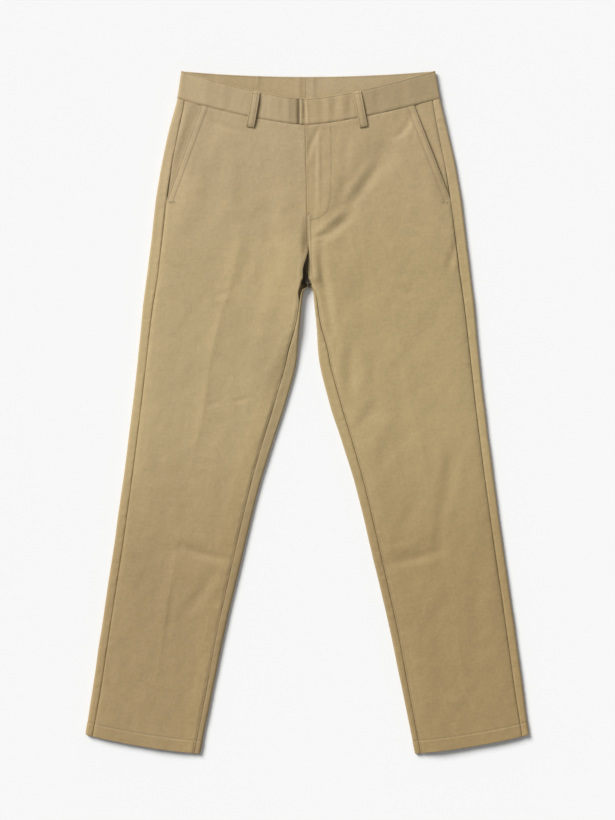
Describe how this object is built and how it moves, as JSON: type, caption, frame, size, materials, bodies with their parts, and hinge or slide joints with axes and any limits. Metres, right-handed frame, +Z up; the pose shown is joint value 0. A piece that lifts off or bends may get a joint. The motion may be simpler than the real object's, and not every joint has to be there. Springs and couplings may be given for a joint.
{
  "type": "chino trousers",
  "caption": "Straight-leg cotton trousers laid flat, front up, with a lapped waistband, belt loops, slanted pocket mouths and a zip fly.",
  "frame": {"origin": "middle of the bounding box at its base, on the surface that the trousers lie on", "axes": "+Y from the hems to the waist, +Z up through the cloth, +X towards the wearer's left leg"},
  "size_m": [0.7078, 1.0905, 0.0164],
  "materials": {
    "twill": "matt cotton twill, khaki tan",
    "facing_twill": "matt cotton twill, khaki tan",
    "thread": "matching sewing thread",
    "zip_tape": "woven tape",
    "brass": "antique satin"
  },
  "bodies": {
    "root": {"front_left": "twill", "front_right": "twill", "back_left": "twill", "back_right": "twill", "waistband_left": "twill", "waistband_right": "twill", "pocket_facing_left": "facing_twill", "pocket_facing_right": "facing_twill", "belt_loop_front_left": "twill", "belt_loop_front_right": "twill", "belt_loop_back_left": "twill", "belt_loop_back_right": "twill", "belt_loop_back_centre": "twill", "fly_shield": "facing_twill", "zip_tape": "zip_tape", "zip_slider": "brass", "waist_hook": "brass", "waist_bar": "brass"}
  },
  "joints": []
}
